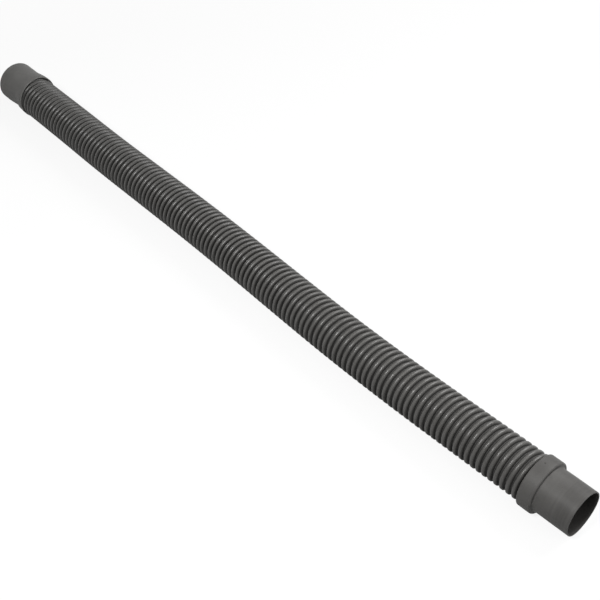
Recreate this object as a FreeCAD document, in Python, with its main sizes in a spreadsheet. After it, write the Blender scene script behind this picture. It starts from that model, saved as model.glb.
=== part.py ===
import FreeCAD, Part
import Sketcher
import math
import os

# Pool cleaner hose section, one metre long, lying on the ground.
# Millimetres, +Z up. The origin is on the ground below the middle of the section, and +X runs
# along the hose from its socket end to its spigot end.
# Three pieces: the ribbed hose, the cuff with the spigot and the cuff with the socket. Each
# end of the hose sits in the collar of its cuff, hard against the stop ring inside.

# Driving dimensions: alias, value in millimetres, meaning
DIMENSIONS = [
    ("hose_crest_dia", 53.4, "hose, outside of the ribs"),
    ("hose_run", 908.9, "hose, from one cut end to the other, along the section"),
    ("rib_height", 4.0, "hose, from the floor of a groove to the top of a rib"),
    ("hose_wall", 2.7, "hose, from the floor of a groove to the water passage"),
    ("rib_pitch", 7.45, "hose, from one rib to the next"),
    ("rib_flank_run", 1.9, "hose, length of each sloping side of a rib"),
    ("seat_clearance", 0.2, "both cuffs, between the ribs and the collar, on the radius"),
    ("stop_length", 3.0, "both cuffs, stop ring that the end of the hose meets"),
    ("stop_step", 1.65, "both cuffs, from the spigot's bore in to the ring's bore, on the radius"),
    ("collar_edge_bevel", 1.0, "both cuffs, bevel of the collar's edge over the hose"),
    ("spigot_seat_depth", 13.0, "spigot cuff, length of hose inside the collar"),
    ("spigot_collar_wall", 2.0, "spigot cuff, wall of the collar"),
    ("collar_front_bevel", 2.0, "spigot cuff, bevel of the collar's front edge"),
    ("spigot_length", 40.0, "spigot cuff, from the collar to the mouth"),
    ("spigot_mouth_dia", 48.9, "spigot cuff, outside at the mouth"),
    ("spigot_land", 20.0, "spigot cuff, straight stretch of the spigot beside the collar"),
    ("spigot_taper", 0.15, "spigot cuff, drop of the radius from the straight stretch to the mouth"),
    ("spigot_wall", 1.3, "spigot cuff, wall at the mouth"),
    ("mouth_bevel", 0.4, "spigot cuff, bevel of the mouth's outer edge"),
    ("socket_seat_depth", 9.6, "socket cuff, length of hose inside the collar"),
    ("socket_collar_wall", 1.2, "socket cuff, wall of the collar"),
    ("flare_lead", 3.0, "socket cuff, how far the flare starts ahead of the stop ring"),
    ("flare_run", 13.5, "socket cuff, length of the flare from the collar to the sleeve"),
    ("socket_depth", 42.5, "socket cuff, from the stop ring to the mouth"),
    ("socket_land", 22.5, "socket cuff, straight stretch inside the mouth"),
    ("socket_wall", 1.9, "socket cuff, wall of the sleeve at the mouth"),
    ("taper_clearance", 0.1, "socket cuff, between it and the next section's spigot, on the radius"),
    ("socket_lead_in", 0.8, "socket cuff, bevel inside the mouth"),
    ("sleeve_edge_bevel", 0.6, "socket cuff, bevel of the mouth's outer edge"),
]

# Route of the hose's axis, chosen by hand: distance along the section and sideways bow.
# The end points are where the ends of the hose meet the stop rings of the cuffs. A longer or
# shorter hose keeps this bow and stretches the distances.
ROUTE_XY = [
    (-453.6, 2.81),
    (-363.1, 2.12),
    (-270.1, 0.93),
    (-179.1, 1.19),
    (-89.1, 1.37),
    (0.9, 0.10),
    (90.9, -2.50),
    (180.9, -4.47),
    (270.9, -3.55),
    (362.9, -1.89),
    (455.3, 1.82),
]
# Share of the shorter run that an arc of the route takes at each of its ends
ARC_SHARE = 0.45
# Share of a wall that one bevel may take
BEVEL_SHARE = 0.45
FULL_TURN = 360.0
# How near an edge lies to the corner of the outline that it comes from
MATCH = 0.01

# Radii that several outlines share, each from the driving dimensions
SEAT = "(Sizes.hose_crest_dia / 2 + Sizes.seat_clearance)"
SPIGOT_TIP = "(Sizes.spigot_mouth_dia / 2)"
SPIGOT_ROOT = "(Sizes.spigot_mouth_dia / 2 + Sizes.spigot_taper)"
SPIGOT_BORE = "(Sizes.spigot_mouth_dia / 2 - Sizes.spigot_wall)"
STOP_BORE = "(Sizes.spigot_mouth_dia / 2 - Sizes.spigot_wall - Sizes.stop_step)"


def add_dimensions(doc):
    """Fill the spreadsheet with the driving dimensions, one alias each."""
    sheet = doc.addObject("Spreadsheet::Sheet", "Sizes")
    for row, (alias, value, meaning) in enumerate(DIMENSIONS, start=1):
        sheet.set("A%d" % row, str(value))
        sheet.setAlias("A%d" % row, alias)
        sheet.set("B%d" % row, meaning)
    doc.recompute()
    return sheet


def value_of(doc, expression):
    """The number that an expression of the spreadsheet's aliases has now."""
    found = doc.Sizes.evalExpression(expression.replace("Sizes.", ""))
    return float(getattr(found, "Value", found))


def route_points(sheet):
    """The route in space: the hose lies on the ground and its two collars hold the ends up."""
    stretch = sheet.hose_run / (ROUTE_XY[-1][0] - ROUTE_XY[0][0])
    lying = sheet.hose_crest_dia / 2
    heights = [lying] * len(ROUTE_XY)
    heights[0] = heights[1] = lying + sheet.seat_clearance + sheet.socket_collar_wall
    heights[-1] = heights[-2] = lying + sheet.seat_clearance + sheet.spigot_collar_wall
    return [FreeCAD.Vector(x * stretch, y, z) for (x, y), z in zip(ROUTE_XY, heights)]


class Route:
    """Straight runs joined by tangent arcs, each arc as large as its two runs allow."""

    def __init__(self, points):
        self.pieces = []
        self.radii = []
        start = points[0]
        for before, corner, after in zip(points, points[1:], points[2:]):
            run_in, run_out = corner - before, after - corner
            way_in = FreeCAD.Vector(run_in).normalize()
            way_out = FreeCAD.Vector(run_out).normalize()
            turn = way_in.getAngle(way_out)
            reach = ARC_SHARE * min(run_in.Length, run_out.Length)
            radius = reach / math.tan(turn / 2)
            arc_start = corner - way_in * reach
            self.add_run(start, arc_start)
            self.pieces.append(("arc", arc_start, way_in, way_out, radius, radius * turn))
            self.radii.append(radius)
            start = corner + way_out * reach
        self.add_run(start, points[-1])
        self.length = sum(piece[-1] for piece in self.pieces)

    def add_run(self, start, end):
        """Add the straight stretch from one point to another."""
        way = (end - start).normalize()
        self.pieces.append(("run", start, way, way, 0.0, start.distanceToPoint(end)))

    def at(self, distance):
        """Point on the axis and its direction, at a distance from the socket end of the hose."""
        left = min(max(distance, 0.0), self.length)
        for index, (kind, start, way_in, way_out, radius, length) in enumerate(self.pieces):
            if left <= length or index == len(self.pieces) - 1:
                break
            left -= length
        if kind == "run":
            return start + way_in * left, way_in
        inward = (way_out - way_in * way_in.dot(way_out)).normalize()
        angle = left / radius
        point = start + way_in * (radius * math.sin(angle)) + inward * (radius * (1 - math.cos(angle)))
        return point, way_in * math.cos(angle) + inward * math.sin(angle)

    def wire(self):
        """The axis as one wire of lines and arcs."""
        edges = []
        travelled = 0.0
        for kind, start, way_in, way_out, radius, length in self.pieces:
            end = self.at(travelled + length)[0]
            if kind == "run":
                edges.append(Part.LineSegment(start, end).toShape())
            else:
                middle = self.at(travelled + length / 2)[0]
                edges.append(Part.Arc(start, middle, end).toShape())
            travelled += length
        return Part.Wire(edges)

    def ring(self, distance, radius):
        """A circle square to the axis, with its start always at the side of the hose."""
        centre, way = self.at(distance)
        circle = Part.Circle(centre, way, radius)
        circle.XAxis = FreeCAD.Vector(0, 0, 1).cross(way).normalize()
        return Part.Wire([circle.toShape()])


def hose_shape(sheet, route):
    """Ribbed wall round a smooth passage.

    Each rib is four circles: groove floor, crest, crest, groove floor. Neighbours share the
    floor circle, so the groove is a narrow V. The cut ends are plain and as wide as the ribs.
    """
    crest = sheet.hose_crest_dia / 2
    floor = crest - sheet.rib_height
    bore = floor - sheet.hose_wall
    pitch = sheet.rib_pitch
    flank = sheet.rib_flank_run
    rib_count = int((route.length - pitch) // pitch)
    plain_end = (route.length - rib_count * pitch) / 2
    rings = [route.ring(0.0, crest), route.ring(plain_end - flank, crest), route.ring(plain_end, floor)]
    for index in range(rib_count):
        start = plain_end + index * pitch
        rings.append(route.ring(start + flank, crest))
        rings.append(route.ring(start + pitch - flank, crest))
        rings.append(route.ring(start + pitch, floor))
    rings.append(route.ring(route.length - plain_end + flank, crest))
    rings.append(route.ring(route.length, crest))
    outside = Part.makeLoft(rings, True, True)
    passage = route.wire().makePipeShell([route.ring(0.0, bore)], True, False)
    share = passage.Volume / (math.pi * bore ** 2 * route.length)
    print("passage volume over section times length: %.4f" % share)
    print("ribs: %d  hose length: %.1f" % (rib_count, route.length))
    return outside.cut(passage)


def origin_plane(body, role):
    """One of a body's own three base planes."""
    return [item for item in body.Origin.OriginFeatures if item.Role == role][0]


def turned_body(doc, label, corners):
    """A body turned about its X axis from a closed outline of (distance, radius) expressions."""
    body = doc.addObject("PartDesign::Body", label)
    sketch = body.newObject("Sketcher::SketchObject", label + "_outline")
    sketch.AttachmentSupport = [(origin_plane(body, "XY_Plane"), "")]
    sketch.MapMode = "FlatFace"
    values = [(value_of(doc, across), value_of(doc, out)) for across, out in corners]
    for index, (x, y) in enumerate(values):
        next_x, next_y = values[(index + 1) % len(values)]
        start, end = FreeCAD.Vector(x, y, 0), FreeCAD.Vector(next_x, next_y, 0)
        sketch.addGeometry(Part.LineSegment(start, end), False)
    for index in range(len(corners)):
        following = (index + 1) % len(corners)
        sketch.addConstraint(Sketcher.Constraint("Coincident", index, 2, following, 1))
    for index, (across, out) in enumerate(corners):
        x, y = values[index]
        if across == "0":
            sketch.addConstraint(Sketcher.Constraint("PointOnObject", index, 1, -2))
        else:
            place = sketch.addConstraint(Sketcher.Constraint("DistanceX", -1, 1, index, 1, x))
            sketch.setExpression("Constraints[%d]" % place, across)
        place = sketch.addConstraint(Sketcher.Constraint("DistanceY", -1, 1, index, 1, y))
        sketch.setExpression("Constraints[%d]" % place, out)
    turned = body.newObject("PartDesign::Revolution", label + "_turned")
    turned.Profile = sketch
    turned.ReferenceAxis = (sketch, ["H_Axis"])
    turned.Angle = FULL_TURN
    sketch.Visibility = False
    doc.recompute()
    return body, turned


def bevel_edge(doc, body, base, name, corner, size, wall):
    """Bevel the circular edge at a corner of the outline, by no more than its wall allows."""
    distance, radius = (value_of(doc, item) for item in corner)
    names = []
    for number, edge in enumerate(base.Shape.Edges, start=1):
        curve = edge.Curve
        if not isinstance(curve, Part.Circle):
            continue
        if abs(curve.Center.x - distance) < MATCH and abs(curve.Radius - radius) < MATCH:
            names.append("Edge%d" % number)
    feature = body.newObject("PartDesign::Chamfer", name)
    feature.Base = (base, names)
    feature.setExpression("Size", "min(%s; %s * abs(%s))" % (size, BEVEL_SHARE, wall))
    doc.recompute()
    return feature


def spigot_cuff(doc):
    """Cuff with a collar over the hose and a spigot, straight and then tapered, for the next section."""
    seat_floor = "Sizes.spigot_seat_depth"
    front = seat_floor + " + Sizes.stop_length"
    mouth = front + " + Sizes.spigot_length"
    collar = "(%s + Sizes.spigot_collar_wall)" % SEAT
    outline = [
        ("0", SEAT),
        ("0", collar),
        (front, collar),
        (front, SPIGOT_ROOT),
        (front + " + Sizes.spigot_land", SPIGOT_ROOT),
        (mouth, SPIGOT_TIP),
        (mouth, SPIGOT_BORE),
        (front, SPIGOT_BORE),
        (front, STOP_BORE),
        (seat_floor, STOP_BORE),
        (seat_floor, SEAT),
    ]
    body, turned = turned_body(doc, "spigot_cuff", outline)
    edge = bevel_edge(doc, body, turned, "spigot_collar_edge", ("0", collar),
                      "Sizes.collar_edge_bevel", "Sizes.spigot_collar_wall")
    front_edge = bevel_edge(doc, body, edge, "spigot_collar_front", (front, collar),
                            "Sizes.collar_front_bevel", "(%s - %s)" % (collar, SPIGOT_ROOT))
    bevel_edge(doc, body, front_edge, "spigot_mouth_edge", (mouth, SPIGOT_TIP),
               "Sizes.mouth_bevel", "Sizes.spigot_wall")
    return body


def socket_cuff(doc):
    """Cuff with a collar over the hose, a flare and a sleeve whose socket takes a spigot."""
    seat_floor = "Sizes.socket_seat_depth"
    socket_floor = seat_floor + " + Sizes.stop_length"
    mouth = socket_floor + " + Sizes.socket_depth"
    flare_start = seat_floor + " - Sizes.flare_lead"
    flare_end = flare_start + " + Sizes.flare_run"
    collar = "(%s + Sizes.socket_collar_wall)" % SEAT
    socket_mouth = "(%s + Sizes.taper_clearance)" % SPIGOT_ROOT
    socket_end = "(%s + Sizes.taper_clearance)" % SPIGOT_TIP
    sleeve = "(%s + Sizes.socket_wall)" % socket_mouth
    outline = [
        ("0", SEAT),
        ("0", collar),
        (flare_start, collar),
        (flare_end, sleeve),
        (mouth, sleeve),
        (mouth, socket_mouth),
        (mouth + " - Sizes.socket_land", socket_mouth),
        (socket_floor, socket_end),
        (socket_floor, STOP_BORE),
        (seat_floor, STOP_BORE),
        (seat_floor, SEAT),
    ]
    body, turned = turned_body(doc, "socket_cuff", outline)
    lip = bevel_edge(doc, body, turned, "socket_collar_edge", ("0", collar),
                     "Sizes.collar_edge_bevel", "Sizes.socket_collar_wall")
    rim = bevel_edge(doc, body, lip, "socket_sleeve_edge", (mouth, sleeve),
                     "Sizes.sleeve_edge_bevel", "Sizes.socket_wall")
    bevel_edge(doc, body, rim, "socket_lead_in", (mouth, socket_mouth),
               "Sizes.socket_lead_in", "Sizes.socket_wall")
    return body


def set_on_hose(body, seat_depth, end, outward):
    """Put a cuff's stop ring against the end of the hose, in line with it."""
    turn = FreeCAD.Rotation(FreeCAD.Vector(1, 0, 0), outward)
    body.Placement = FreeCAD.Placement(end - outward * float(seat_depth), turn)


def check(doc, nodes):
    """Stop if any object failed or any piece isn't one valid solid."""
    for item in doc.Objects:
        if "Invalid" in item.State or "Error" in item.State:
            raise RuntimeError("%s: %s" % (item.Label, item.State))
    for node in nodes:
        shape = node.Shape
        if shape.isNull() or not shape.isValid() or len(shape.Solids) != 1:
            raise RuntimeError("%s is not one valid solid" % node.Label)


def main():
    doc = FreeCAD.newDocument("PoolCleanerHose")
    sheet = add_dimensions(doc)
    route = Route(route_points(sheet))
    print("arc radii:", ", ".join("%.0f" % radius for radius in route.radii))

    hose = doc.addObject("Part::Feature", "hose")
    hose.Shape = hose_shape(sheet, route)

    socket_end = socket_cuff(doc)
    start, way = route.at(0.0)
    set_on_hose(socket_end, sheet.socket_seat_depth, start, way * -1)

    spigot_end = spigot_cuff(doc)
    end, way = route.at(route.length)
    set_on_hose(spigot_end, sheet.spigot_seat_depth, end, way)

    doc.recompute()
    nodes = [hose, socket_end, spigot_end]
    check(doc, nodes)
    os.makedirs("parts", exist_ok=True)
    for node in nodes:
        print("%-12s volume %.0f" % (node.Label, node.Shape.Volume))
        node.Shape.exportStep("parts/%s.step" % node.Label)


main()
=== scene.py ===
"""Pool cleaner hose section: fine form, finishes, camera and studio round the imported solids.

Lengths are in metres, unless a name says otherwise. Distances along the hose start at the socket
end. Angles round the hose start at its side (about +Y) and turn upwards. Colours are linear.
"""

import logging
import math
from dataclasses import dataclass
from enum import Enum

import bpy
import numpy as np
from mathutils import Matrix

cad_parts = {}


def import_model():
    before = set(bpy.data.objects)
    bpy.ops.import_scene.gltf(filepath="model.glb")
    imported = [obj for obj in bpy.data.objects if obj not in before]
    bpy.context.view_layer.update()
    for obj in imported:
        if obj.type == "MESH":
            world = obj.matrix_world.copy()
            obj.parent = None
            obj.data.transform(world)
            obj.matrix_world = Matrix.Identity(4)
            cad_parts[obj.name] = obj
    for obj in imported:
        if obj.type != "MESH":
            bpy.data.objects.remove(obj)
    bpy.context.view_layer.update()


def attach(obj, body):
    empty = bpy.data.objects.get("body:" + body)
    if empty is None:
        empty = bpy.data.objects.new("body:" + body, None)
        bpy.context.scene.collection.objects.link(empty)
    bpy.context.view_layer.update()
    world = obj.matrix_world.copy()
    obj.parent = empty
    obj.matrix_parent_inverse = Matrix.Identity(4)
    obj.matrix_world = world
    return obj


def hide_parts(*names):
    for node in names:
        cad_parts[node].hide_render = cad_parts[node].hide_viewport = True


LOG = logging.getLogger("hose_section")
TURN = 2 * math.pi
UPWARD = (0.0, 0.0, 1.0)
WHITE = (1.0, 1.0, 1.0, 1.0)

# Control points of the hose's axis: along the section, sideways bow, height.
# The hose lies on the ground, and its two wider collars hold its ends up.
ROUTE = (
    (-0.4536, 0.00281, 0.0281),
    (-0.3631, 0.00212, 0.0281),
    (-0.2701, 0.00093, 0.0267),
    (-0.1791, 0.00119, 0.0267),
    (-0.0891, 0.00137, 0.0267),
    (0.0009, 0.0001, 0.0267),
    (0.0909, -0.0025, 0.0267),
    (0.1809, -0.00447, 0.0267),
    (0.2709, -0.00355, 0.0267),
    (0.3629, -0.00189, 0.0289),
    (0.4553, 0.00182, 0.0289),
)

# How far the winding of the rib runs ahead of an even one, at distances along the hose, in
# pitches towards the spigot.
WINDING_DRIFT = (
    (0.02, 0.01), (0.05, -0.05), (0.11, -0.07), (0.18, 0.04), (0.25, -0.04), (0.35, -0.09), (0.42, -0.15),
    (0.50, -0.055), (0.57, 0.055), (0.65, 0.21), (0.77, 0.245), (0.81, 0.16), (0.86, 0.0), (0.89, -0.045),
)

# Angle round the hose, in degrees, at which the socket cuff's slanting lip has its plain depth.
LIP_ANGLE_DEG = 115.0


class Slot(Enum):
    """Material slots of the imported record."""

    HOSE = "hose_wall"
    CUFF = "cuff_plastic"


class End(Enum):
    """The two ends of the hose, each with the sign of its outward direction along the axis."""

    SOCKET = -1
    SPIGOT = 1


def unit(vectors: np.ndarray) -> np.ndarray:
    """Vectors divided by their own lengths, where the last axis holds x, y, z."""
    return vectors / np.linalg.norm(vectors, axis=-1, keepdims=True)


def smooth_step(value: np.ndarray) -> np.ndarray:
    """Three times the square less twice the cube of the value held between 0 and 1."""
    held = np.clip(value, 0.0, 1.0)
    return held * held * (3.0 - 2.0 * held)


def along_table(where: np.ndarray, table: tuple) -> list[np.ndarray]:
    """Read a table of rows (station, value, value...) between its stations.

    Args:
        where: the stations to read at.
        table: the rows, in order of their stations.

    Returns:
        One array for each column of values.
    """
    stations, *columns = np.array(table).T
    return [np.interp(where, stations, column) for column in columns]


def linked(name: str, data: bpy.types.ID) -> bpy.types.Object:
    """A new object, linked to the scene.

    Args:
        name: the object's name.
        data: its mesh, lamp or camera data.

    Returns:
        The object, at the origin.
    """
    made = bpy.data.objects.new(name, data)
    bpy.context.scene.collection.objects.link(made)
    return made


@dataclass
class Axis:
    """The hose's centre line: the NURBS spline that has the route's points as control points."""

    control: tuple = ROUTE
    order: int = 3
    resolution: int = 48

    def __post_init__(self) -> None:
        """Read the spline's points and measure the distance along them."""
        self.points = self.read_spline()
        steps = np.linalg.norm(np.diff(self.points, axis=0), axis=1)
        self.distance = np.concatenate([[0.0], np.cumsum(steps)])
        self.length = float(self.distance[-1])
        self.way = unit(np.gradient(self.points, self.distance, axis=0))

    def read_spline(self) -> np.ndarray:
        """Lay the spline on the control points.

        Returns:
            The points of the spline, as a curve with no bevel gives them.
        """
        data = bpy.data.curves.new("axis", "CURVE")
        data.dimensions = "3D"
        data.resolution_u = self.resolution
        spline = data.splines.new("NURBS")
        spline.points.add(len(self.control) - 1)
        weighted = np.hstack([np.array(self.control), np.ones((len(self.control), 1))])
        spline.points.foreach_set("co", weighted.ravel())
        spline.order_u = self.order
        spline.use_endpoint_u = True
        holder = bpy.data.objects.new("axis", data)
        mesh = bpy.data.meshes.new_from_object(holder)
        points = np.empty(len(mesh.vertices) * 3)
        mesh.vertices.foreach_get("co", points)
        bpy.data.objects.remove(holder)
        bpy.data.curves.remove(data)
        bpy.data.meshes.remove(mesh)
        return points.reshape(-1, 3)

    def between(self, values: np.ndarray, distance: np.ndarray) -> np.ndarray:
        """Values kept at the spline's points, read at distances along the hose."""
        return np.stack([np.interp(distance, self.distance, column) for column in values.T], -1)

    def place(self, distance: np.ndarray, radius: np.ndarray, angle: np.ndarray) -> np.ndarray:
        """Points round the axis: centre plus radius times (cosine to the side, sine up).

        Args:
            distance: distances along the hose.
            radius: distances from the axis.
            angle: angles round the hose.

        Returns:
            The points, with x, y, z on the last axis.
        """
        centre = self.between(self.points, distance)
        way = unit(self.between(self.way, distance))
        side = unit(np.cross(UPWARD, way))
        up = np.cross(way, side)
        return centre + radius[..., None] * (np.cos(angle)[..., None] * side + np.sin(angle)[..., None] * up)

    def end_frame(self, end: End) -> tuple[np.ndarray, np.ndarray]:
        """Where the hose is cut and the outward direction there.

        Args:
            end: which end of the hose.

        Returns:
            The centre of the cut and the unit vector that points away from the hose.
        """
        cut, inner = self.control[:2] if end is End.SOCKET else self.control[:-3:-1]
        return np.array(cut), unit(np.array(cut) - np.array(inner))


def mesh_object(name: str, points: np.ndarray, faces: np.ndarray, uv: np.ndarray,
                masks: dict[str, np.ndarray]) -> bpy.types.Object:
    """A smooth-shaded object from arrays.

    Args:
        name: the object's name.
        points: vertices, n by 3.
        faces: vertex numbers, m by 3 or m by 4.
        uv: one pair for each face corner, in metres.
        masks: named values from 0 to 1, one for each vertex.

    Returns:
        The object, at the origin and linked to the scene.
    """
    corners = faces.shape[1]
    mesh = bpy.data.meshes.new(name)
    mesh.vertices.add(len(points))
    mesh.vertices.foreach_set("co", points.ravel())
    mesh.loops.add(faces.size)
    mesh.loops.foreach_set("vertex_index", faces.ravel().astype(np.int32))
    mesh.polygons.add(len(faces))
    mesh.polygons.foreach_set("loop_start", np.arange(0, faces.size, corners, dtype=np.int32))
    mesh.update(calc_edges=True)
    mesh.polygons.foreach_set("use_smooth", np.ones(len(faces), dtype=bool))
    layer = mesh.uv_layers.new(name="UVMap")
    layer.data.foreach_set("uv", uv.astype(np.float32).ravel())
    for mask_name, values in masks.items():
        attribute = mesh.attributes.new(mask_name, "FLOAT", "POINT")
        attribute.data.foreach_set("value", values.astype(np.float32))
    mesh.validate()
    mesh.update()
    return linked(name, mesh)


@dataclass
class Skin:
    """A helical skin: where each vertex lies, and the triangles with their own coordinates.

    The two rings are the vertices at the skin's ends, in order round the hose.
    """

    distance: np.ndarray
    angle: np.ndarray
    turns: np.ndarray
    triangles: np.ndarray
    uv: np.ndarray
    low_ring: np.ndarray
    high_ring: np.ndarray


@dataclass
class RibbedHose:
    """The wall of the hose: one helical rib outside and a rippled passage inside.

    A point's turn number is its even distance, less where the first groove lies, over the
    pitch, plus its angle over a full turn. The even distance is the distance along the hose
    less the winding's drift there. Whole turn numbers are the groove's centre.

    The painted shade in the grooves and the painted light on the crests are tables by distance.
    The shade's table gives how far up the rib's sides the painted shade lies and the power by which
    it thins out there. The light's table gives how pale the crests are painted. The lip's sizes say
    where the socket cuff's lip casts a painted shadow on the hose: its plain depth over the hose,
    by how much it is deeper or less deep round its slant, the angle of the plain depth, and the
    shadow's run.
    """

    axis: Axis
    crest_radius: float = 0.0267
    groove_radius: float = 0.0229
    bore_radius: float = 0.020
    ripple: float = 0.0003
    pitch: float = 0.007448
    first_groove: float = 0.004464
    drift: tuple = WINDING_DRIFT
    # Painted shade in the grooves: its spread and power by distance. The passage gets a plain share.
    painted_groove_shade: tuple = ((0.0, 3.5, 1.0), (0.45, 2.5, 1.1), (0.65, 1.7, 1.2), (0.90, 1.3, 1.6))
    passage_painted_shade: float = 0.5
    # Painted light on the crests, by distance: palest towards the socket end.
    painted_crest_light: tuple = ((0.0, 0.35), (0.45, 0.30), (0.70, 0.12), (0.90, 0.0))
    # The socket cuff's lip casts a painted shadow on the hose.
    lip_depth: float = 0.0112
    lip_skew: float = 0.0020
    lip_angle_deg: float = LIP_ANGLE_DEG
    lip_shade_run: float = 0.0030
    groove_half_width: float = 0.105
    rib_roundness: float = 0.75
    outer_columns: int = 66
    inner_columns: int = 33
    crest_samples: tuple = (0.0, 0.012, 0.05, 0.14, 0.28)
    passage_samples: tuple = (0.0, 0.25, 0.5, 0.75)
    turns_before: int = 1
    turns_past: int = 3
    drift_margin_turns: int = 4
    drift_steps: int = 4000

    def even_distance(self, distance: np.ndarray) -> np.ndarray:
        """Distance along the hose less the winding's drift there."""
        return distance - self.pitch * along_table(distance, self.drift)[0]

    def real_distance(self, even: np.ndarray) -> np.ndarray:
        """Distance along the hose that has this even distance, read back from a fine table.

        Args:
            even: even distances, also past the ends by up to the table's margin.

        Returns:
            The distances along the hose.
        """
        margin = self.drift_margin_turns * self.pitch
        table = np.linspace(-margin, self.axis.length + margin, self.drift_steps + 1)
        return np.interp(even, self.even_distance(table), table)

    def outside_samples(self) -> np.ndarray:
        """Parts of a pitch where the outside has its rows, close together at the rib's feet."""
        rising = [self.groove_half_width + part for part in self.crest_samples]
        return np.array([0.0, *rising, *[1.0 - part for part in reversed(rising)]])

    def rib_rise(self, turns: np.ndarray) -> np.ndarray:
        """Height of the outside over the groove's floor, from 0 to 1.

        The part of a pitch from the nearest groove, less the groove's half width, is scaled to run
        from 0 at the rib's foot to 1 at its middle. The rise is one less the square of what is
        left to the middle, to the power of the rib's roundness: an ellipse at one half, a
        parabola at one.

        Args:
            turns: turn numbers.

        Returns:
            The rise at each turn number.
        """
        from_groove = np.abs(turns - np.round(turns))
        scaled = np.clip((from_groove - self.groove_half_width) / (0.5 - self.groove_half_width), 0.0, 1.0)
        return (1.0 - (1.0 - scaled) ** 2) ** self.rib_roundness

    def row_turns(self, samples: np.ndarray) -> np.ndarray:
        """Turn numbers of a skin's rows, from before the socket end to past the spigot end.

        Args:
            samples: parts of a pitch where the rows lie.

        Returns:
            Each whole turn with each of the samples added, in order.
        """
        first = math.floor(-self.first_groove / self.pitch) - self.turns_before
        last = math.ceil((self.axis.length - self.first_groove) / self.pitch) + self.turns_past
        return (np.arange(first, last)[:, None] + samples[None, :]).ravel()

    def held_numbers(self, distance: np.ndarray, per_turn: int) -> tuple[np.ndarray, np.ndarray, np.ndarray]:
        """Vertex numbers of a skin's grid, with one column more than there are vertices round it.

        One full turn on, a row becomes the row one pitch back, so the last column repeats the
        first, moved on by a turn's rows. Rows that would pass an end are held at it.

        Args:
            distance: distance along the hose at each row and column.
            per_turn: rows in one turn.

        Returns:
            The numbers (-1 where there is no vertex), and each column's first and last row.
        """
        rows, columns = distance.shape[0], distance.shape[1] - 1
        number = np.arange(rows * columns).reshape(rows, columns)
        wrapped = np.vstack([np.full((per_turn, 1), -1), number[:-per_turn, :1]])
        number = np.hstack([number, wrapped])
        low = (distance <= 0.0).sum(axis=0) - 1
        high = (distance < self.axis.length).sum(axis=0)
        kept_row = np.clip(np.arange(rows)[:, None], low[None, :], high[None, :])
        return np.take_along_axis(number, kept_row, axis=0), low, high

    def halves(self, grid: np.ndarray) -> np.ndarray:
        """Corner values of the two triangles that halve each square of a grid.

        Args:
            grid: values on rows and columns.

        Returns:
            Three values for each triangle, all first halves before all second halves.
        """
        square = np.stack([grid[:-1, :-1], grid[:-1, 1:], grid[1:, 1:], grid[1:, :-1]], -1).reshape(-1, 4)
        return np.concatenate([square[:, [0, 1, 2]], square[:, [0, 2, 3]]])

    def helical_skin(self, samples: np.ndarray, columns: int) -> Skin:
        """A skin whose rows follow the helix and whose two ends are cut square.

        Row r and column c meet where the turn number is that of row r. Triangles that an end's
        cut flattens are dropped. The skin's own coordinates run along the strip, without a break
        from turn to turn, and across it, anew from each groove's centre.

        Args:
            samples: parts of a pitch where the rows lie.
            columns: number of columns round the hose.

        Returns:
            The skin.
        """
        turns = self.row_turns(samples)
        angle = np.arange(columns + 1) * (TURN / columns)
        even = self.first_groove + self.pitch * (turns[:, None] - angle[None, :] / TURN)
        distance = self.real_distance(even)
        number, low, high = self.held_numbers(distance, len(samples))
        triangles = self.halves(number)
        whole = (triangles.min(axis=1) >= 0) & (triangles[:, 0] != triangles[:, 1])
        whole &= (triangles[:, 1] != triangles[:, 2]) & (triangles[:, 0] != triangles[:, 2])
        row, column = np.indices(number.shape)
        row, column = self.halves(row)[whole], self.halves(column)[whole]
        turn_base = np.floor(turns[row[:, :1]])
        across = (turns[row] - turn_base) * self.pitch
        strip = (column / columns - turn_base) * (TURN * self.crest_radius)
        held = np.clip(distance[:, :-1], 0.0, self.axis.length)
        held_turns = (self.even_distance(held) - self.first_groove) / self.pitch + angle[None, :-1] / TURN
        every_column = np.arange(columns)
        return Skin(
            distance=held.ravel(),
            angle=np.broadcast_to(angle[:-1], held.shape).ravel(),
            turns=held_turns.ravel(),
            triangles=triangles[whole],
            uv=np.stack([strip, across], -1),
            low_ring=number[low[:-1].clip(0), every_column],
            high_ring=number[high[:-1], every_column],
        )

    def ring_faces(self, outer: np.ndarray, inner: np.ndarray) -> np.ndarray:
        """Triangles between two rings, facing back along the axis.

        Args:
            outer: vertices of the outer ring, twice as many as the inner one has.
            inner: vertices of the inner ring.

        Returns:
            Three triangles for each vertex of the inner ring.
        """
        first, second, third = outer[::2], outer[1::2], np.roll(outer[::2], -1)
        near, far = inner, np.roll(inner, -1)
        return np.concatenate([
            np.stack([first, near, second], -1),
            np.stack([second, near, far], -1),
            np.stack([second, far, third], -1),
        ])

    def painted_shade_mask(self, skin: Skin, rise: np.ndarray) -> np.ndarray:
        """How much painted shade there is on the outside, from 0 to 1.

        In the grooves the painted shade is what is left to the rib's full rise, to the table's power,
        times its spread. Under the socket cuff's lip it is a painted shadow, where the mask is 1, and
        beside the lip that fades over the shade's run.

        Args:
            skin: the outside.
            rise: the rib's rise at each vertex.

        Returns:
            The mask at each vertex.
        """
        spread, power = along_table(skin.distance, self.painted_groove_shade)
        # Painted shade, deepest in the grooves.
        groove_shade = (1.0 - rise) ** power * spread
        lip = self.lip_depth + self.lip_skew * np.sin(skin.angle - math.radians(self.lip_angle_deg))
        # Painted shadow under the socket cuff's lip.
        lip_shade = 1.0 - smooth_step((skin.distance - lip) / self.lip_shade_run)
        return np.clip(np.maximum(groove_shade, lip_shade), 0.0, 1.0)

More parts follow.
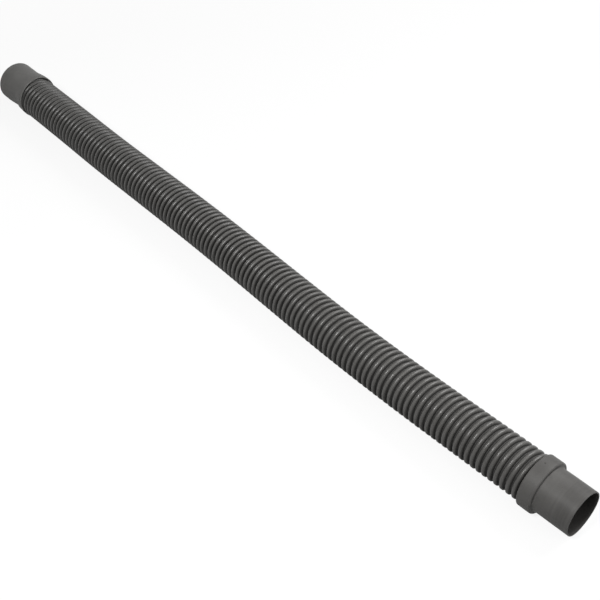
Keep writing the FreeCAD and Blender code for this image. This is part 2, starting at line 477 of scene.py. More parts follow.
    def build(self) -> bpy.types.Object:
        """The closed wall as one mesh.

        Returns:
            The object, with the mask "groove" (painted shade in the grooves, in the passage and
            under the socket cuff's lip), a mask of painted light on the crests, and the strip's own
            coordinates as its UV map.
        """
        outside = self.helical_skin(self.outside_samples(), self.outer_columns)
        passage = self.helical_skin(np.array(self.passage_samples), self.inner_columns)
        rise = self.rib_rise(outside.turns)
        outer_radius = self.groove_radius + (self.crest_radius - self.groove_radius) * rise
        inner_radius = self.bore_radius + self.ripple * np.cos(TURN * passage.turns)
        points = np.concatenate([
            self.axis.place(outside.distance, outer_radius, outside.angle),
            self.axis.place(passage.distance, inner_radius, passage.angle),
        ])
        shift = len(outside.distance)
        low_cap = self.ring_faces(outside.low_ring, passage.low_ring + shift)
        high_cap = self.ring_faces(outside.high_ring, passage.high_ring + shift)[:, ::-1]
        inner_triangles = passage.triangles[:, ::-1] + shift
        triangles = np.concatenate([outside.triangles, inner_triangles, low_cap, high_cap])
        cap_uv = np.zeros((len(low_cap) + len(high_cap), 3, 2))
        uv = np.concatenate([outside.uv, passage.uv[:, ::-1], cap_uv])
        inner_count = len(passage.distance)
        # Painted shade in the colour: the grooves, the passage and the hose under the socket cuff's lip.
        groove = np.append(self.painted_shade_mask(outside, rise), np.full(inner_count, self.passage_painted_shade))
        # Painted light: the crests are made paler in colour.
        painted_crest_light = np.append(rise * along_table(outside.distance, self.painted_crest_light)[0], np.zeros(inner_count))
        used, compact = np.unique(triangles, return_inverse=True)
        return mesh_object("ribbed_hose", points[used], compact.reshape(-1, 3), uv,
                           {"groove": groove[used], "painted_crest_light": painted_crest_light[used]})


@dataclass(frozen=True)
class Corner:
    """A corner of a cuff's outline: distance outward from the collar's edge, radius, rounding."""

    along: float
    radius: float
    rounding: float = 0.0


def corner_arc(here: np.ndarray, back: np.ndarray, ahead: np.ndarray, rounding: float,
               arc_points: int) -> np.ndarray:
    """Arc that rounds a corner.

    It starts at the rounding over the tangent of half the corner's inner angle from the corner.
    Its centre lies on the corner's bisector, at the rounding over the sine of that half, and its
    points turn evenly about the centre.

    Args:
        here: the corner.
        back: unit vector to the corner before it.
        ahead: unit vector to the corner after it.
        rounding: radius of the arc.
        arc_points: number of points on the arc.

    Returns:
        The arc's points, in order.
    """
    half = 0.5 * math.acos(float(np.clip(back @ ahead, -1.0, 1.0)))
    centre = here + unit(back + ahead) * (rounding / math.sin(half))
    reach = rounding / math.tan(half)
    first, last = here + back * reach - centre, here + ahead * reach - centre
    sweep = math.acos(float(np.clip(unit(first) @ unit(last), -1.0, 1.0)))
    part = np.linspace(0.0, 1.0, arc_points)[:, None]
    turned = np.sin((1 - part) * sweep) * first + np.sin(part * sweep) * last
    return centre + turned / math.sin(sweep)


def rounded_outline(corners: list[Corner], arc_points: int = 7, spacing: float = 0.0025,
                    hold: float = 0.0002) -> np.ndarray:
    """Closed outline whose corners are arcs and whose straights are divided.

    Args:
        corners: the corners in order round the section of the wall.
        arc_points: points on each arc.
        spacing: a straight gets one point for each of these in its run, and two at least.
        hold: distance of a straight's first and last points from its ends, which keeps it flat
            beside an arc. A straight shorter than three of these stays whole.

    Returns:
        Points as (distance, radius), in order.
    """
    spots = np.array([(corner.along, corner.radius) for corner in corners])
    back = unit(np.roll(spots, 1, axis=0) - spots)
    ahead = unit(np.roll(spots, -1, axis=0) - spots)
    bits = [corner_arc(spots[k], back[k], ahead[k], corner.rounding, arc_points) if corner.rounding
            else spots[k:k + 1] for k, corner in enumerate(corners)]
    outline = []
    for bit, following in zip(bits, bits[1:] + bits[:1]):
        outline.append(bit)
        straight = following[0] - bit[-1]
        run = float(np.linalg.norm(straight))
        if run > 3 * hold:
            steps = max(2, math.ceil(run / spacing))
            outline.append(bit[-1] + straight * np.linspace(hold / run, 1.0 - hold / run, steps)[:, None])
    return np.concatenate(outline)


@dataclass(frozen=True)
class Dent:
    """A place where a cuff is out of round: angle, half width of the place, change of radius.

    The profile says which share of the change there is at the outline's distances.
    """

    angle_deg: float
    half_width_deg: float
    rise: float
    profile: tuple = ((0.030, 0.0), (0.056, 1.0))

    def at(self, distance: np.ndarray, angle: np.ndarray) -> np.ndarray:
        """The rise times the profile times a cosine bell that ends at the half width.

        Args:
            distance: the outline's distances.
            angle: angles round the cuff.

        Returns:
            The change of radius at each distance and angle.
        """
        away = np.abs((angle - math.radians(self.angle_deg) + math.pi) % TURN - math.pi)
        bell = 0.5 + 0.5 * np.cos(np.clip(away / math.radians(self.half_width_deg), 0.0, 1.0) * math.pi)
        return self.rise * along_table(distance, self.profile)[0][:, None] * bell[None, :]


@dataclass
class Cuff:
    """A moulded cuff: a closed outline turned round the hose's end direction.

    A slide is a table by the outline's distance. It moves the outside or the inside back over
    the hose: by its plain part, and by its skew times the sine of the angle from the skew's own,
    so that an edge lies aslant. A painted shade darkens the passage, which is whatever inside
    lies within the shade's radius. It comes up over a short run from the mouth.
    """

    axis: Axis
    end: End
    seat_depth: float
    name: str = "cuff_moulding"
    columns: int = 112
    dents: tuple = ()
    dents_inside: bool = True
    slide: tuple = ((0.0, 0.0, 0.0),)
    slide_inside: tuple = ((0.0, 0.0, 0.0),)
    skew_angle_deg: float = LIP_ANGLE_DEG
    shade_run: float = 0.004
    shade_radius: float = 0.0249
    seat_radius: float = 0.0269
    stop_length: float = 0.003
    stop_radius: float = 0.0215
    inner_rounding: float = 0.0003

    def outer_corners(self) -> list[Corner]:
        """The outline's corners outside and in the mouth, from the collar's edge outward."""
        raise NotImplementedError

    def corners(self) -> list[Corner]:
        """All corners of the outline.

        Returns:
            The seat's edge, the outer corners, and the stop ring that the hose butts against.
        """
        stop = self.seat_depth + self.stop_length
        return [
            Corner(0.0, self.seat_radius, self.inner_rounding),
            *self.outer_corners(),
            Corner(stop, self.stop_radius, self.inner_rounding),
            Corner(self.seat_depth, self.stop_radius, self.inner_rounding),
            Corner(self.seat_depth, self.seat_radius),
        ]

    def slid(self, outline: np.ndarray, inside: np.ndarray, angle: np.ndarray) -> np.ndarray:
        """Distance of each point outward from the hose's cut.

        Args:
            outline: points as (distance, radius).
            inside: which points lie inside.
            angle: angles round the cuff.

        Returns:
            The outline's distance less the seat's depth and the slide, by point and angle.
        """
        outer_slide = along_table(outline[:, 0], self.slide)
        inner_slide = along_table(outline[:, 0], self.slide_inside)
        plain, skew = [np.where(inside, inner, outer) for inner, outer in zip(inner_slide, outer_slide)]
        slant = np.sin(angle - math.radians(self.skew_angle_deg))
        return outline[:, :1] - self.seat_depth - plain[:, None] - skew[:, None] * slant[None, :]

    def faces_and_uv(self, outline: np.ndarray) -> tuple[np.ndarray, np.ndarray]:
        """Squares between the turned outline's points, and their coordinates.

        Args:
            outline: points as (distance, radius).

        Returns:
            Vertex numbers, four for each square, and (distance round, distance along) for each
            of its corners.
        """
        rows, columns = len(outline), self.columns
        row, column = np.indices((rows, columns)).reshape(2, -1)
        corner_row = np.stack([row, row + 1, row + 1, row], -1) % rows
        corner_column = np.stack([column, column, column + 1, column + 1], -1)
        faces = corner_row * columns + corner_column % columns
        around = corner_column / columns * TURN * outline[:, 1].max()
        uv = np.stack([around, outline[corner_row, 0]], -1)
        if self.end is End.SPIGOT:
            return faces[:, ::-1], uv[:, ::-1]
        return faces, uv

    def build(self) -> bpy.types.Object:
        """Turn the outline, with the dents added to its radius and the slides taken off its distance.

        Returns:
            The closed mesh, with the mask "reach" (0 at the collar's edge, 1 at the mouth) and
            the mask "inside" (1 in the passage's painted shade).
        """
        outline = rounded_outline(self.corners())
        along, radius = outline.T
        angle = np.arange(self.columns) * (TURN / self.columns)
        inside = np.arange(len(outline)) > np.argmax(along)
        inside[0] = True
        dented = ~inside | self.dents_inside
        out_of_round = sum(dent.at(along, angle) for dent in self.dents)
        dented_radius = radius[:, None] + dented[:, None] * out_of_round
        cut, outward = self.axis.end_frame(self.end)
        way = outward * float(self.end.value)
        side = unit(np.cross(UPWARD, way))
        spokes = np.cos(angle)[:, None] * side + np.sin(angle)[:, None] * np.cross(way, side)
        distance = self.slid(outline, inside, angle)
        points = cut + outward * distance[..., None] + dented_radius[..., None] * spokes[None, :, :]
        mouth = along.max()
        # Painted shade in the passage, growing from the mouth inward.
        in_passage = inside & (radius < self.shade_radius)
        shade = np.where(in_passage, smooth_step((mouth - along) / self.shade_run), 0.0)
        masks = {"reach": np.repeat(along / mouth, self.columns), "inside": np.repeat(shade, self.columns)}
        return mesh_object(self.name, points.reshape(-1, 3), *self.faces_and_uv(outline), masks)


@dataclass
class SpigotCuff(Cuff):
    """Cuff with a thick collar and a thin spigot, straight beside the collar and then tapered."""

    end: End = End.SPIGOT
    name: str = "spigot_cuff_moulding"
    seat_depth: float = 0.013
    dents: tuple = (Dent(250.0, 42.0, 0.0013), Dent(313.0, 50.0, -0.0006))
    collar_radius: float = 0.0289
    spigot_length: float = 0.040
    spigot_land: float = 0.020
    root_radius: float = 0.0246
    tip_radius: float = 0.02445
    bore_radius: float = 0.02315
    edge_rounding: float = 0.0012
    front_rounding: float = 0.0020
    root_rounding: float = 0.0014
    rim_rounding: float = 0.0004

    def outer_corners(self) -> list[Corner]:
        """Collar, spigot, mouth and passage.

        Returns:
            The corners, in order.
        """
        front = self.seat_depth + self.stop_length
        mouth = front + self.spigot_length
        return [
            Corner(0.0, self.collar_radius, self.edge_rounding),
            Corner(front, self.collar_radius, self.front_rounding),
            Corner(front, self.root_radius, self.root_rounding),
            Corner(front + self.spigot_land, self.root_radius),
            Corner(mouth, self.tip_radius, self.rim_rounding),
            Corner(mouth, self.bore_radius, self.rim_rounding),
            Corner(front, self.bore_radius),
        ]


@dataclass
class SocketCuff(Cuff):
    """Cuff with a thin collar that flares down to a long sleeve with a socket inside.

    The first dent lifts the collar's top, and the second draws in the lower side, most of all in
    the neck between flare and sleeve.
    """

    end: End = End.SOCKET
    name: str = "socket_cuff_moulding"
    seat_depth: float = 0.0096
    dents: tuple = (
        Dent(60.0, 57.0, 0.0009, ((0.0, 1.2), (0.010, 1.1), (0.016, 0.9), (0.022, 0.4), (0.028, 0.0))),
        Dent(221.0, 95.0, -0.0010, ((0.0, 0.5), (0.010, 0.6), (0.015, 1.1), (0.020, 1.7), (0.026, 1.5),
                                    (0.031, 0.9), (0.036, 0.3), (0.042, 0.0))),
    )
    dents_inside: bool = False
    slide: tuple = ((0.0, 0.0016, 0.0020), (0.0066, 0.0016, 0.0034), (0.0155, 0.0016, 0.0052),
                    (0.022, 0.0012, 0.0048), (0.034, 0.0, 0.0))
    slide_inside: tuple = ((0.0, 0.0016, 0.0020), (0.0066, 0.0, 0.0))
    collar_radius: float = 0.0281
    flare_start: float = 0.0066
    flare_run: float = 0.0135
    sleeve_radius: float = 0.0266
    socket_depth: float = 0.0425
    socket_land: float = 0.0225
    socket_radius: float = 0.0247
    floor_radius: float = 0.02455
    lip_rounding: float = 0.0006
    flare_rounding: float = 0.012
    edge_rounding: float = 0.0007
    lead_in: float = 0.0006

    def outer_corners(self) -> list[Corner]:
        """Collar, flare, sleeve, mouth and socket.

        Returns:
            The corners, in order.
        """
        floor = self.seat_depth + self.stop_length
        mouth = floor + self.socket_depth
        return [
            Corner(0.0, self.collar_radius, self.lip_rounding),
            Corner(self.flare_start, self.collar_radius, self.flare_rounding),
            Corner(self.flare_start + self.flare_run, self.sleeve_radius, self.flare_rounding),
            Corner(mouth, self.sleeve_radius, self.edge_rounding),
            Corner(mouth, self.socket_radius, self.lead_in),
            Corner(mouth - self.socket_land, self.socket_radius),
            Corner(floor, self.floor_radius),
        ]


class Nodes:
    """Short ways to place and join shader nodes in one tree."""

    def __init__(self, tree: bpy.types.NodeTree) -> None:
        """Keep the tree and empty it."""
        self.tree = tree
        tree.nodes.clear()

    def add(self, kind: str, **settings: object) -> bpy.types.Node:
        """Place a node.

        Args:
            kind: the node's type.
            settings: its plain settings.

        Returns:
            The node.
        """
        node = self.tree.nodes.new(kind)
        for name, value in settings.items():
            setattr(node, name, value)
        return node

    def join(self, source: bpy.types.NodeSocket, target: bpy.types.NodeSocket) -> None:
        """Link an output to an input."""
        self.tree.links.new(source, target)

    def feed(self, target: bpy.types.NodeSocket, value: object) -> None:
        """Give an input its value.

        Args:
            target: the input.
            value: an output to link, or a plain value.
        """
        if isinstance(value, bpy.types.NodeSocket):
            self.join(value, target)
        else:
            target.default_value = value

    def fed(self, kind: str, inputs: dict, **settings: object) -> bpy.types.Node:
        """Place a node and give its inputs their values.

        Args:
            kind: the node's type.
            inputs: values or outputs by the input's name or number.
            settings: its plain settings.

        Returns:
            The node.
        """
        node = self.add(kind, **settings)
        for key, value in inputs.items():
            self.feed(node.inputs[key], value)
        return node

    def math(self, operation: str, first: object, second: object = 0.0) -> bpy.types.NodeSocket:
        """The result of one operation on two values or sockets."""
        return self.fed("ShaderNodeMath", {0: first, 1: second}, operation=operation).outputs[0]

    def ramp(self, value: object, low: object, high: object, to_low: float = 0.0,
             to_high: float = 1.0) -> bpy.types.NodeSocket:
        """A value carried from one range to another and held inside it."""
        limits = {"From Min": low, "From Max": high, "To Min": to_low, "To Max": to_high}
        return self.fed("ShaderNodeMapRange", {"Value": value, **limits}, clamp=True).outputs["Result"]

    def noise(self, vector: bpy.types.NodeSocket, scale: object, detail: float) -> bpy.types.NodeSocket:
        """Smooth noise about one half."""
        inputs = {"Vector": vector, "Scale": scale, "Detail": detail}
        return self.fed("ShaderNodeTexNoise", inputs, noise_dimensions="3D").outputs["Fac"]

    def blend(self, share: object, first: object, second: object) -> bpy.types.NodeSocket:
        """The first colour turning into the second as the share goes from 0 to 1."""
        inputs = {"Factor": share, "A": first, "B": second}
        return self.fed("ShaderNodeMix", inputs, data_type="RGBA").outputs["Result"]

    def mask(self, name: str) -> bpy.types.NodeSocket:
        """One of the mesh's own masks."""
        return self.add("ShaderNodeAttribute", attribute_name=name).outputs["Fac"]

    def coordinate(self, place: bpy.types.NodeSocket, letter: str) -> bpy.types.NodeSocket:
        """X, Y or Z of a place."""
        return self.fed("ShaderNodeSeparateXYZ", {"Vector": place}).outputs[letter]

    def lines(self, stretch: float, scale: float, detail: float) -> bpy.types.NodeSocket:
        """Noise on the UV map, drawn out along its first direction.

        Args:
            stretch: scale along the lines, as a share of the scale across them.
            scale: scale across the lines.
            detail: finer layers of the noise.

        Returns:
            The noise, about one half.
        """
        strip = self.add("ShaderNodeUVMap", uv_map="UVMap").outputs["UV"]
        mapping = self.fed("ShaderNodeMapping", {"Vector": strip, "Scale": (stretch, 1.0, 1.0)})
        return self.noise(mapping.outputs["Vector"], scale, detail)


def new_group(name: str, takes: dict[str, float], gives: list[str]) -> tuple:
    """An empty shader node group that takes a vector and some values and gives values.

    Args:
        name: the group's name.
        takes: names of the values that it takes beside "Vector", each with its first value.
        gives: names of the values that it gives.

    Returns:
        The helper for the group's tree, its input node's outputs and its output node's inputs.
    """
    group = bpy.data.node_groups.new(name, "ShaderNodeTree")
    group.interface.new_socket("Vector", in_out="INPUT", socket_type="NodeSocketVector")
    for label, first in takes.items():
        socket = group.interface.new_socket(label, in_out="INPUT", socket_type="NodeSocketFloat")
        socket.default_value = first
    for label in gives:
        group.interface.new_socket(label, in_out="OUTPUT", socket_type="NodeSocketFloat")
    nodes = Nodes(group)
    return nodes, nodes.add("NodeGroupInput").outputs, nodes.add("NodeGroupOutput").inputs


@dataclass(frozen=True)
class Grain:
    """Grain of moulded foam plastic: fine noise plus a share of coarser noise, as a height."""

    group: str = "plastic_grain"
    scale: float = 1400.0
    coarse_share: float = 0.4
    coarse_size: float = 0.22
    fine_detail: float = 3.0
    coarse_detail: float = 2.0

    def build(self) -> None:
        """Make the node group."""
        takes = {"Scale": self.scale, "Coarse Share": self.coarse_share}
        nodes, given, result = new_group(self.group, takes, ["Height"])
        fine = nodes.noise(given["Vector"], given["Scale"], self.fine_detail)
        coarse_scale = nodes.math("MULTIPLY", given["Scale"], self.coarse_size)
        coarse = nodes.noise(given["Vector"], coarse_scale, self.coarse_detail)
        weighted = nodes.math("MULTIPLY", coarse, given["Coarse Share"])
        nodes.join(nodes.math("ADD", fine, weighted), result["Height"])


@dataclass(frozen=True)
class Wear:
    """Handling marks: cloudy shade from large noise, and sparse specks where fine noise peaks."""

    group: str = "handling_wear"
    cloud_scale: float = 35.0
    cloud_detail: float = 4.0
    cloud_range: tuple = (0.3, 0.7)
    speck_scale: float = 420.0
    speck_detail: float = 1.0
    speck_range: tuple = (0.76, 0.84)

    def build(self) -> None:
        """Make the node group."""
        takes = {"Cloud Scale": self.cloud_scale, "Speck Scale": self.speck_scale}
        nodes, given, result = new_group(self.group, takes, ["Cloud", "Specks"])
        cloud = nodes.noise(given["Vector"], given["Cloud Scale"], self.cloud_detail)
        nodes.join(nodes.ramp(cloud, *self.cloud_range), result["Cloud"])
        specks = nodes.noise(given["Vector"], given["Speck Scale"], self.speck_detail)
        nodes.join(nodes.ramp(specks, *self.speck_range), result["Specks"])


@dataclass(frozen=True)
class Dust:
    """Painted shade on the lower side, where the plastic is also dusty: whole up to one height, and fading
    to none at another.
    """

    group: str = "lower_dust_and_shade"
    full_height: float = 0.018
    top_height: float = 0.036

    def build(self) -> None:
        """Make the node group."""
        takes = {"Full Height": self.full_height, "Top Height": self.top_height}
        nodes, given, result = new_group(self.group, takes, ["Dust"])
        height = nodes.coordinate(given["Vector"], "Z")
        dust_and_shade = nodes.ramp(height, given["Full Height"], given["Top Height"], 1.0, 0.0)
        nodes.join(dust_and_shade, result["Dust"])


EFFECTS = (Grain(), Wear(), Dust())


class Canvas:
    """A material in the making: its shader and what every finish draws on."""

    def __init__(self, name: str) -> None:
        """Place the shader, the object coordinates and the shared effects."""
        self.material = bpy.data.materials.new(name)
        self.material.use_nodes = True
        self.nodes = Nodes(self.material.node_tree)
        output = self.nodes.add("ShaderNodeOutputMaterial")
        self.shader = self.nodes.add("ShaderNodeBsdfPrincipled")
        self.nodes.join(self.shader.outputs["BSDF"], output.inputs["Surface"])
        self.place = self.nodes.add("ShaderNodeTexCoord").outputs["Object"]
        self.grain, self.wear, self.dust_and_shade = [self.effect(effect.group) for effect in EFFECTS]

    def effect(self, group: str) -> bpy.types.NodeOutputs:
        """Place a shared effect, with its first values, and give its outputs."""
        inputs = {"Vector": self.place}
        return self.nodes.fed("ShaderNodeGroup", inputs, node_tree=bpy.data.node_groups[group]).outputs


@dataclass(frozen=True)
class PlasticFinish:
    """Satin foamed plastic: the colours, gloss, grain, soiling and painted shade that hose and cuffs have in
    common.
    """

    name: str
    dark: tuple
    light: tuple
    # Colour of grimy plastic, and of the painted shade in hollows, passages and on the lower side.
    grime_and_shade: tuple = (0.022, 0.021, 0.020, 1.0)
    rough_low: float = 0.44
    rough_high: float = 0.52
    specular: float = 0.12
    grain_height: float = 0.00004
    speck_share: float = 0.6
    dust_rough: float = 0.15
    # Share of the dark colour on the lower side: painted shade, with dustiness.
    dust_and_low_shade_share: float = 0.04

    def cloudy(self, canvas: Canvas) -> bpy.types.NodeSocket:
        """The clean plastic's colour, between dark and light."""
        return canvas.nodes.blend(canvas.wear["Cloud"], self.dark, self.light)

    def soiled_and_shaded(self, canvas: Canvas, shade: bpy.types.NodeSocket, cover: object,
               share: float) -> bpy.types.NodeSocket:
        """A colour darkened towards the colour of grimy plastic and of painted shade, by a share of what
        covers it.
        """
        return canvas.nodes.blend(canvas.nodes.math("MULTIPLY", cover, share), shade, self.grime_and_shade)

    def roughness(self, canvas: Canvas) -> bpy.types.NodeSocket:
        """Roughness between low and high with the clouds, and more under dust.

        Args:
            canvas: the material in the making.

        Returns:
            The roughness.
        """
        rough = canvas.nodes.ramp(canvas.wear["Cloud"], 0.0, 1.0, self.rough_low, self.rough_high)
        dusty = canvas.nodes.math("MULTIPLY", canvas.dust_and_shade["Dust"], self.dust_rough)
        return canvas.nodes.math("ADD", rough, dusty)

    def relief(self, canvas: Canvas, pattern: bpy.types.NodeSocket, share: float) -> bpy.types.NodeSocket:
        """The surface's normal over the grain and a share of a pattern.

        Args:
            canvas: the material in the making.
            pattern: values from 0 to 1.
            share: the pattern's height, as a share of the grain's.

        Returns:
            The normal.
        """
        nodes = canvas.nodes
        height = nodes.math("ADD", canvas.grain["Height"], nodes.math("MULTIPLY", pattern, share))
        inputs = {"Distance": self.grain_height, "Height": height}
        return nodes.fed("ShaderNodeBump", inputs).outputs["Normal"]

    def close(self, canvas: Canvas, shade: bpy.types.NodeSocket, rough: bpy.types.NodeSocket,
              normal: bpy.types.NodeSocket) -> bpy.types.Material:
        """Feed the shader.

        Args:
            canvas: the material in the making.
            shade: its colour.
            rough: its roughness.
            normal: its normal.

        Returns:
            The finished material.
        """
        shader = canvas.shader.inputs
        shader["Specular IOR Level"].default_value = self.specular
        for label, source in (("Base Color", shade), ("Roughness", rough), ("Normal", normal)):
            canvas.nodes.join(source, shader[label])
        return canvas.material


@dataclass(frozen=True)
class HoseFinish(PlasticFinish):
    """The wound wall: fine lines drawn along the strip, painted shade in the grooves, and painted light on
    the crests.

    The grooves are rougher only towards the spigot end: they begin to be so at one place along X,
    and are wholly so at another.
    """

    name: str = "wound_wall"
    dark: tuple = (0.052, 0.050, 0.047, 1.0)
    light: tuple = (0.073, 0.071, 0.067, 1.0)
    # Colour of grimy plastic and of the painted shade.
    grime_and_shade: tuple = (0.015, 0.0145, 0.0135, 1.0)
    # Painted light: the colour towards which the crests are lightened.
    painted_crest_light_colour: tuple = (0.110, 0.107, 0.100, 1.0)
    rough_low: float = 0.29
    rough_high: float = 0.35
    specular: float = 0.36
    grain_height: float = 0.000025
    speck_share: float = 0.5
    dust_rough: float = 0.35
    # Share of the dark colour on the lower side: painted shade, with dustiness.
    dust_and_low_shade_share: float = 0.25
    # Painted shade in the grooves: the mask's range and how far the colour goes dark.
    groove_shade_range: tuple = (0.1, 0.7)
    groove_shade_share: float = 0.95
    groove_dull_range: tuple = (0.05, 0.3)
    groove_dull_from: float = 0.02
    groove_dull_full: float = 0.22
    groove_rough: float = 0.30
    line_scale: float = 2600.0
    line_detail: float = 2.0
    line_stretch: float = 0.012
    line_range: tuple = (0.35, 0.65)
    line_colour_share: float = 0.25
    line_height_share: float = 0.12

    def material(self) -> bpy.types.Material:
        """Build the material.

        Returns:
            The finished material.
        """
        canvas = Canvas(self.name)
        nodes = canvas.nodes
        lines = nodes.lines(self.line_stretch, self.line_scale, self.line_detail)
        groove = nodes.mask("groove")
        pale_lines = nodes.math("MULTIPLY", nodes.ramp(lines, *self.line_range), self.line_colour_share)
        shade = nodes.blend(pale_lines, self.cloudy(canvas), self.light)
        # Painted light on the crests.
        shade = nodes.blend(nodes.mask("painted_crest_light"), shade, self.painted_crest_light_colour)
        # Painted shade in the grooves, in the passage and under the socket cuff's lip.
        shade = nodes.blend(nodes.ramp(groove, *self.groove_shade_range, 0.0, self.groove_shade_share), shade, self.grime_and_shade)
        shade = self.soiled_and_shaded(canvas, shade, canvas.wear["Specks"], self.speck_share)
        # Painted shade on the lower side, with dustiness.
        shade = self.soiled_and_shaded(canvas, shade, canvas.dust_and_shade["Dust"], self.dust_and_low_shade_share)
        along = nodes.coordinate(canvas.place, "X")
        near_spigot = nodes.ramp(along, self.groove_dull_from, self.groove_dull_full, 0.0, self.groove_rough)
        dull = nodes.math("MULTIPLY", nodes.ramp(groove, *self.groove_dull_range), near_spigot)
        rough = nodes.math("ADD", self.roughness(canvas), dull)
        return self.close(canvas, shade, rough, self.relief(canvas, lines, self.line_height_share))


@dataclass(frozen=True)
class CuffFinish(PlasticFinish):
    """The spigot cuff: duller, with faint bands round the spigot, a small dark mark and painted shade in its
    passage.

    The mark is whole within the first of its radii and has faded out at the second.
    """

    name: str = "spigot_cuff_plastic"
    dark: tuple = (0.066, 0.064, 0.0615, 1.0)
    light: tuple = (0.087, 0.085, 0.0815, 1.0)
    band_scale: float = 330.0
    band_detail: float = 1.0
    band_stretch: float = 0.03
    band_range: tuple = (0.4, 0.6)
    band_reach: tuple = (0.35, 0.75)
    band_share: float = 0.20
    band_height_share: float = 0.6
    # Painted shade in the passage: how far it goes to the dark colour.
    inside_painted_shade_share: float = 0.85
    mark: tuple = (0.44877, 0.00245, 0.05739)
    mark_radii: tuple = (0.00056, 0.0014)
    mark_share: float = 0.9

    def material(self) -> bpy.types.Material:
        """Build the material.

        Returns:
            The finished material.
        """
        canvas = Canvas(self.name)
        nodes = canvas.nodes
        bands = nodes.lines(self.band_stretch, self.band_scale, self.band_detail)
        near_mouth = nodes.ramp(nodes.mask("reach"), *self.band_reach)
        banded = nodes.math("MULTIPLY", nodes.ramp(bands, *self.band_range), near_mouth)
        shade = self.soiled_and_shaded(canvas, self.cloudy(canvas), banded, self.band_share)
        shade = self.soiled_and_shaded(canvas, shade, canvas.wear["Specks"], self.speck_share)
        # Painted shade on the lower side, with dustiness.
        shade = self.soiled_and_shaded(canvas, shade, canvas.dust_and_shade["Dust"], self.dust_and_low_shade_share)
        # Painted shade in the passage.
        shade = self.soiled_and_shaded(canvas, shade, nodes.mask("inside"), self.inside_painted_shade_share)
        away = nodes.fed("ShaderNodeVectorMath", {0: canvas.place, 1: self.mark}, operation="DISTANCE")
        mark = nodes.ramp(away.outputs["Value"], *self.mark_radii, self.mark_share, 0.0)
        shade = nodes.blend(mark, shade, self.grime_and_shade)
        normal = self.relief(canvas, banded, self.band_height_share)
        return self.close(canvas, shade, self.roughness(canvas), normal)


@dataclass(frozen=True)
class SocketCuffPaintedLighter(CuffFinish):
    """The socket cuff: painted lighter than the spigot cuff, as if more light fell on it, with fainter bands
    round the sleeve and no mark.
    """

    name: str = "socket_cuff_plastic_painted_lighter"
    # Painted light: lighter copies of the spigot cuff's colours, as if more light fell here.
    dark: tuple = (0.095, 0.0935, 0.090, 1.0)
    light: tuple = (0.117, 0.115, 0.111, 1.0)
    band_share: float = 0.06
    mark_share: float = 0.0


@dataclass(frozen=True)
class Lamp:
    """A square soft lamp: the direction it stands in from the origin, its side and its watts."""

    name: str
    direction: tuple
    side: float
    power: float
    distance: float = 1.7

    def hang(self) -> None:
        """Add the lamp, turned to the scene's origin.

        Unturned, it shines straight down. It is tipped by its direction's angle from the vertical,
        and then swung round the vertical.
        """
        data = bpy.data.lights.new(self.name, "AREA")
        data.size = self.side
        data.energy = self.power
        made = linked(self.name, data)
        x, y, z = unit(np.array(self.direction))
        made.location = (self.distance * x, self.distance * y, self.distance * z)
        made.rotation_euler = (math.acos(z), 0.0, math.atan2(-y, -x) - math.pi / 2)


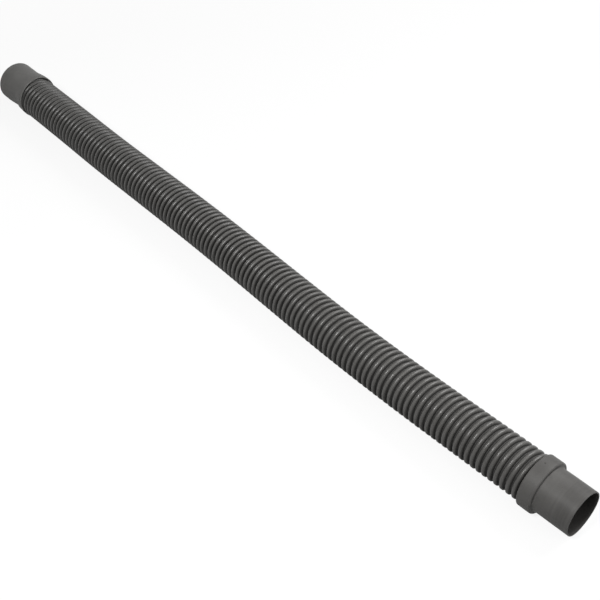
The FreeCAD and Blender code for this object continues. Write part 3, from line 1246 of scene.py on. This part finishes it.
@dataclass
class Studio:
    """Pale floor, white surround and soft lamps.

    A wide lamp stands behind the hose and one past its spigot end. The two small ones, in front
    and behind, make the thin highlights along the ribs' crests.
    """

    floor_half: float = 6.0
    floor_drop: float = 0.0002
    floor_colour: tuple = (0.82, 0.82, 0.82, 1.0)
    floor_unseen: tuple = (0.25, 0.25, 0.25, 1.0)
    white_share: float = 0.87
    shadows_to: float = 0.60
    white_from: float = 1.1
    lamps: tuple = (
        Lamp("behind", (0.26, 0.68, 0.68), 1.0, 23.5),
        Lamp("front", (0.20, -0.56, 0.75), 0.26, 21.0, 1.6),
        Lamp("spigot_end", (0.7, 0.0, 0.7), 1.2, 11.0),
        Lamp("behind_small", (0.3, 0.62, 0.67), 0.4, 1.2),
    )

    def seen_mask(self, nodes: Nodes) -> bpy.types.NodeSocket:
        """1 for rays from the camera and for mirrored and transmitted rays, else 0.

        Args:
            nodes: the helper for the material's or the surround's tree.

        Returns:
            The mask.
        """
        path = nodes.add("ShaderNodeLightPath").outputs
        seen = nodes.math("MAXIMUM", path["Is Camera Ray"], path["Is Glossy Ray"])
        return nodes.math("MAXIMUM", seen, path["Is Transmission Ray"])

    def floor_material(self) -> bpy.types.Material:
        """Matt, and mostly plain white where it is seen, so that only shadows show.

        The share of white rises to one with the distance from the origin, beyond the shadows.

        Returns:
            The finished material.
        """
        material = bpy.data.materials.new("studio_floor")
        material.use_nodes = True
        nodes = Nodes(material.node_tree)
        seen = self.seen_mask(nodes)
        colour = nodes.blend(seen, self.floor_unseen, self.floor_colour)
        matt = nodes.fed("ShaderNodeBsdfDiffuse", {"Color": colour}).outputs["BSDF"]
        white = nodes.fed("ShaderNodeEmission", {"Color": WHITE}).outputs["Emission"]
        place = nodes.add("ShaderNodeTexCoord").outputs["Object"]
        away = nodes.fed("ShaderNodeVectorMath", {0: place}, operation="LENGTH").outputs["Value"]
        share = nodes.ramp(away, self.shadows_to, self.white_from, self.white_share, 1.0)
        white_part = nodes.math("MULTIPLY", seen, share)
        mix = nodes.fed("ShaderNodeMixShader", {"Fac": white_part, 1: matt, 2: white})
        nodes.fed("ShaderNodeOutputMaterial", {"Surface": mix.outputs["Shader"]})
        return material

    def floor(self) -> bpy.types.Object:
        """The floor, a hair below the ground that the object lies on.

        Returns:
            The floor's object.
        """
        half, height = self.floor_half, -self.floor_drop
        mesh = bpy.data.meshes.new("studio_floor")
        spots = [(-half, -half, height), (half, -half, height), (half, half, height), (-half, half, height)]
        mesh.from_pydata(spots, [], [(0, 1, 2, 3)])
        mesh.materials.append(self.floor_material())
        return linked("studio_floor", mesh)

    def sky(self) -> None:
        """The surround: white where it is seen, mirrored too, and no other light on the object."""
        world = bpy.data.worlds.new("studio")
        bpy.context.scene.world = world
        world.use_nodes = True
        nodes = Nodes(world.node_tree)
        background = nodes.fed("ShaderNodeBackground", {"Color": WHITE, "Strength": self.seen_mask(nodes)})
        nodes.fed("ShaderNodeOutputWorld", {"Surface": background.outputs["Background"]})

    def build(self) -> None:
        """Floor, surround and lamps."""
        self.floor()
        self.sky()
        for lamp in self.lamps:
            lamp.hang()


@dataclass
class PhotoCamera:
    """The camera that took the photograph, found from the ribs' spacing and the cuffs."""

    place: tuple = (0.8151, -0.62123, 0.8891)
    yaw_deg: float = 138.756
    pitch_deg: float = -42.377
    focal_px: float = 1151.2
    frame_px: float = 600.0
    sensor_mm: float = 36.0

    def build(self) -> None:
        """Place the camera: yaw is measured from +X towards +Y, pitch above the horizon."""
        data = bpy.data.cameras.new("photo_camera")
        data.sensor_width = self.sensor_mm
        data.lens = self.sensor_mm * self.focal_px / self.frame_px
        made = linked("photo_camera", data)
        made.location = self.place
        made.rotation_euler = (math.radians(90.0 + self.pitch_deg), 0.0, math.radians(self.yaw_deg - 90.0))
        bpy.context.scene.camera = made


def dress(piece: bpy.types.Object, material: bpy.types.Material, node: str) -> None:
    """Give a piece its finish, put it on its body and let it stand for its solid.

    Args:
        piece: the piece.
        material: its finish.
        node: the solid that it stands for.
    """
    piece.data.materials.append(material)
    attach(piece, "root")
    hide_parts(node)
    LOG.info("%s: %d faces", piece.name, len(piece.data.polygons))


def main() -> None:
    """Build the section in order: hose, cuffs, studio, camera."""
    logging.basicConfig(level=logging.INFO, format="%(name)s %(message)s")
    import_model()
    axis = Axis()
    LOG.info("axis: %.4f m", axis.length)
    for effect in EFFECTS:
        effect.build()
    hose = RibbedHose(axis)
    wall = hose.build()
    dress(wall, HoseFinish().material(), "hose")
    dress(SpigotCuff(axis).build(), CuffFinish().material(), "spigot_cuff")
    dress(SocketCuff(axis).build(), SocketCuffPaintedLighter().material(), "socket_cuff")
    Studio().build()
    PhotoCamera().build()
    scene = bpy.context.scene
    scene.view_settings.view_transform = "Standard"


if __name__ == "__main__":
    main()
